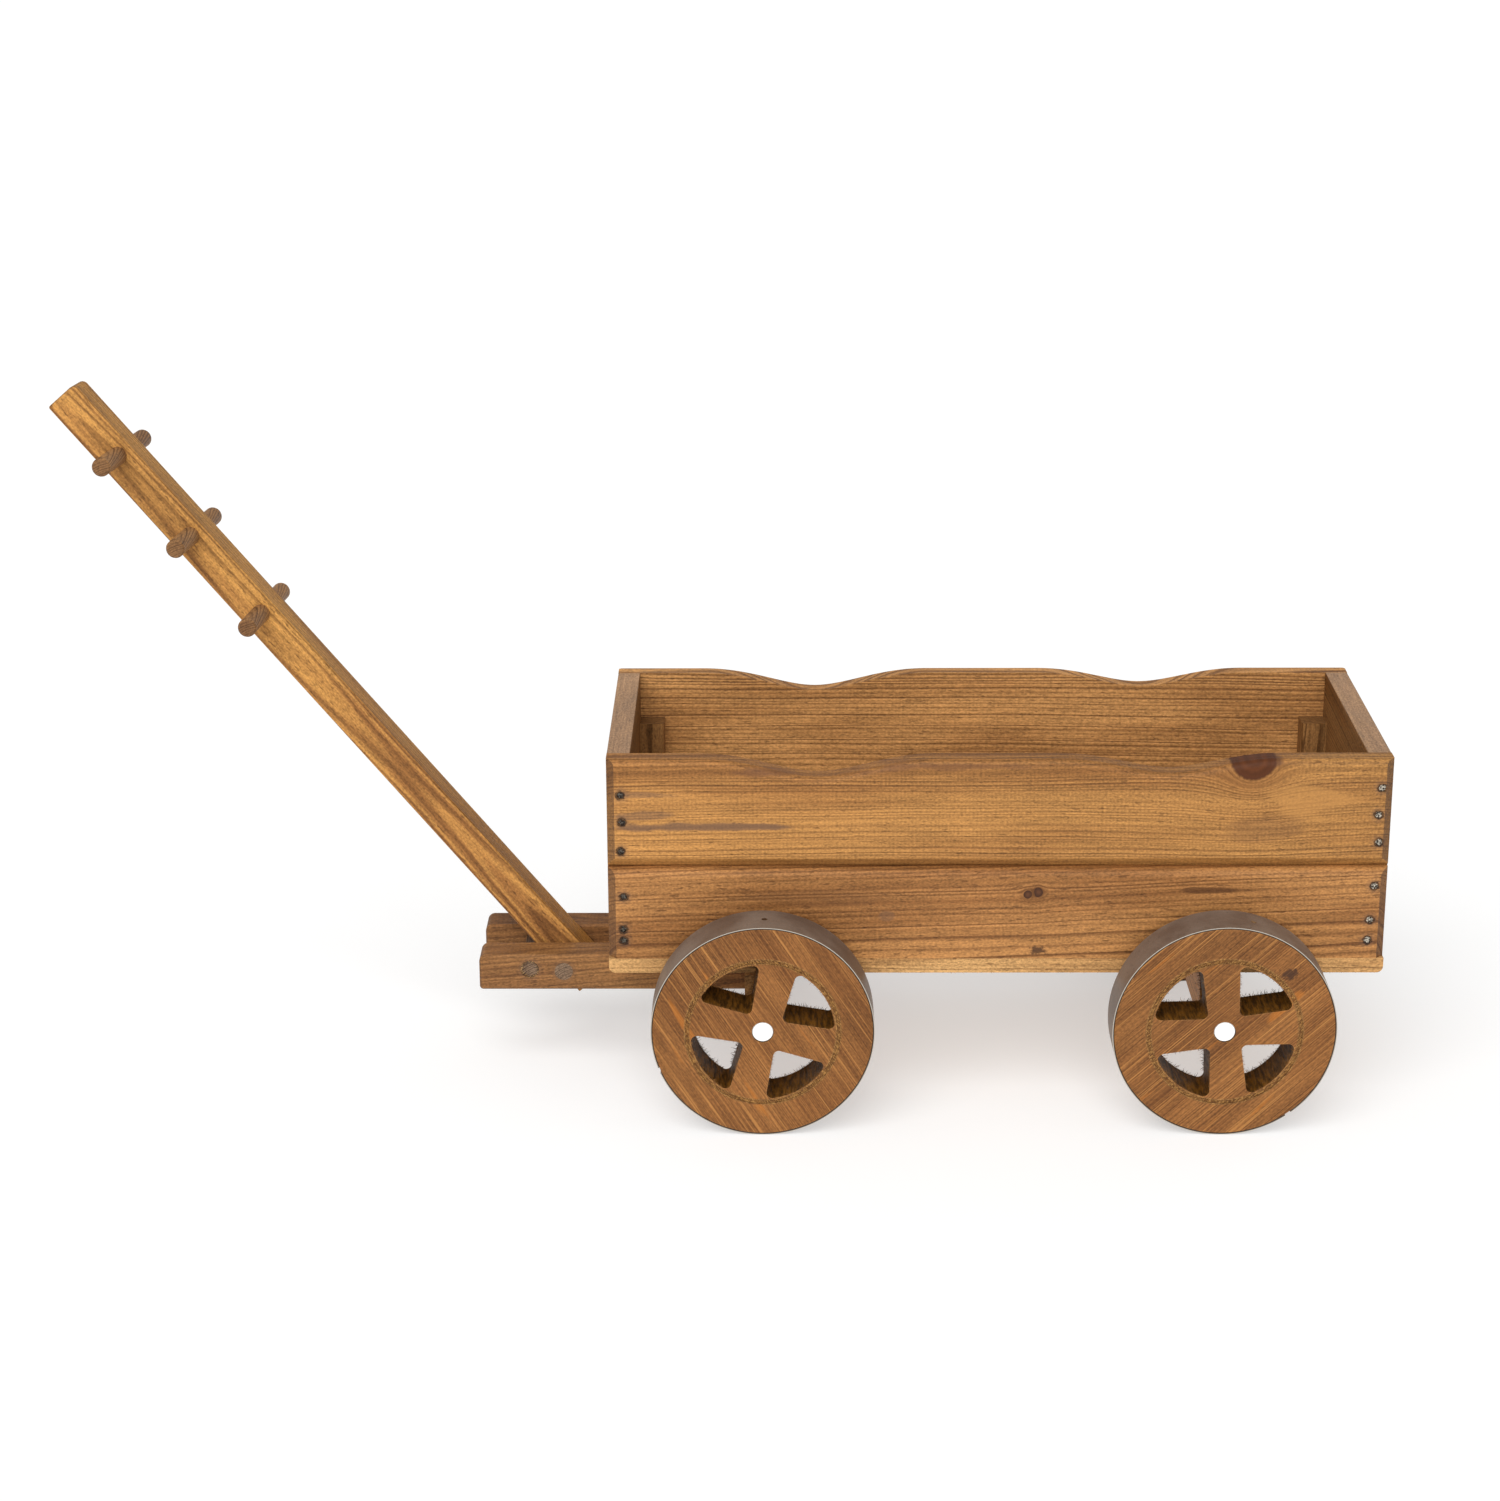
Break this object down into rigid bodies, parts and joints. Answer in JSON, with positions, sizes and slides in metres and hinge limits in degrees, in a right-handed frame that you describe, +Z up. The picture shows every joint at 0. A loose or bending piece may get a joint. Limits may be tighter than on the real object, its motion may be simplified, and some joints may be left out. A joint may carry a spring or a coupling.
{
  "type": "wooden wagon",
  "caption": "Wooden pull wagon: open plank box with scalloped sides on spoked wooden wheels with steel tyres, and a hinged handle bar with cross pegs.",
  "frame": {"origin": "middle of the overall bounding box in plan, at ground level under the wheels", "axes": "+X towards the wagon's rear (the handle is at -X), +Y towards the wagon's right side, +Z up"},
  "size_m": [1.039, 0.343, 0.544],
  "materials": {
    "board_wood": "stained, semi-matte",
    "floor_wood": "raw sawn, matte",
    "wheel_wood": "stained, semi-matte",
    "handle_wood": "stained, semi-matte",
    "dowel_wood": "stained, matte",
    "tyre_steel": "rolled strap",
    "nail_steel": "plain",
    "axle_plastic": "satin"
  },
  "bodies": {
    "wagon_box": {"left_upper_side_board": "board_wood", "left_lower_side_board": "board_wood", "right_upper_side_board": "board_wood", "right_lower_side_board": "board_wood", "front_upper_end_board": "board_wood", "front_lower_end_board": "board_wood", "rear_upper_end_board": "board_wood", "rear_lower_end_board": "board_wood", "floor_board_left": "floor_wood", "floor_board_middle": "floor_wood", "floor_board_right": "floor_wood", "corner_post_front_left": "board_wood", "corner_post_front_right": "board_wood", "corner_post_rear_left": "board_wood", "corner_post_rear_right": "board_wood", "nails_left_side": "nail_steel", "nails_right_side": "nail_steel", "nails_floor": "nail_steel", "screws_axle_beams": "nail_steel", "screws_tongue": "nail_steel", "front_axle_beam": "board_wood", "rear_axle_beam": "board_wood", "front_axle_rod": "axle_plastic", "rear_axle_rod": "axle_plastic", "wheel_spacers": "axle_plastic", "left_tongue_rail": "handle_wood", "right_tongue_rail": "handle_wood", "tongue_packer": "board_wood", "handle_pivot_dowel": "dowel_wood", "handle_stop_dowel": "dowel_wood"},
    "handle": {"pull_handle": "handle_wood", "handle_peg_upper": "dowel_wood", "handle_peg_middle": "dowel_wood", "handle_peg_lower": "dowel_wood"},
    "front_left_wheel": {"wheel_front_left": "wheel_wood", "tyre_front_left": "tyre_steel", "tyre_nails_front_left": "nail_steel"},
    "rear_left_wheel": {"wheel_rear_left": "wheel_wood", "tyre_rear_left": "tyre_steel", "tyre_nails_rear_left": "nail_steel"},
    "front_right_wheel": {"wheel_front_right": "wheel_wood", "tyre_front_right": "tyre_steel", "tyre_nails_front_right": "nail_steel"},
    "rear_right_wheel": {"wheel_rear_right": "wheel_wood", "tyre_rear_right": "tyre_steel", "tyre_nails_rear_right": "nail_steel"}
  },
  "joints": [
    {"name": "handle_pivot", "type": "hinge", "parent": "wagon_box", "child": "handle", "pos_m": [-0.12093, 0, 0.0848], "axis": [0, 1, 0], "range_deg": [0, 45]},
    {"name": "front_left_spin", "type": "hinge", "parent": "wagon_box", "child": "front_left_wheel", "pos_m": [0.03877, -0.15325, 0.0858], "axis": [0, 1, 0], "continuous": true},
    {"name": "rear_left_spin", "type": "hinge", "parent": "wagon_box", "child": "rear_left_wheel", "pos_m": [0.39187, -0.15325, 0.0858], "axis": [0, 1, 0], "continuous": true},
    {"name": "front_right_spin", "type": "hinge", "parent": "wagon_box", "child": "front_right_wheel", "pos_m": [0.03877, 0.15325, 0.0858], "axis": [0, 1, 0], "continuous": true},
    {"name": "rear_right_spin", "type": "hinge", "parent": "wagon_box", "child": "rear_right_wheel", "pos_m": [0.39187, 0.15325, 0.0858], "axis": [0, 1, 0], "continuous": true}
  ]
}
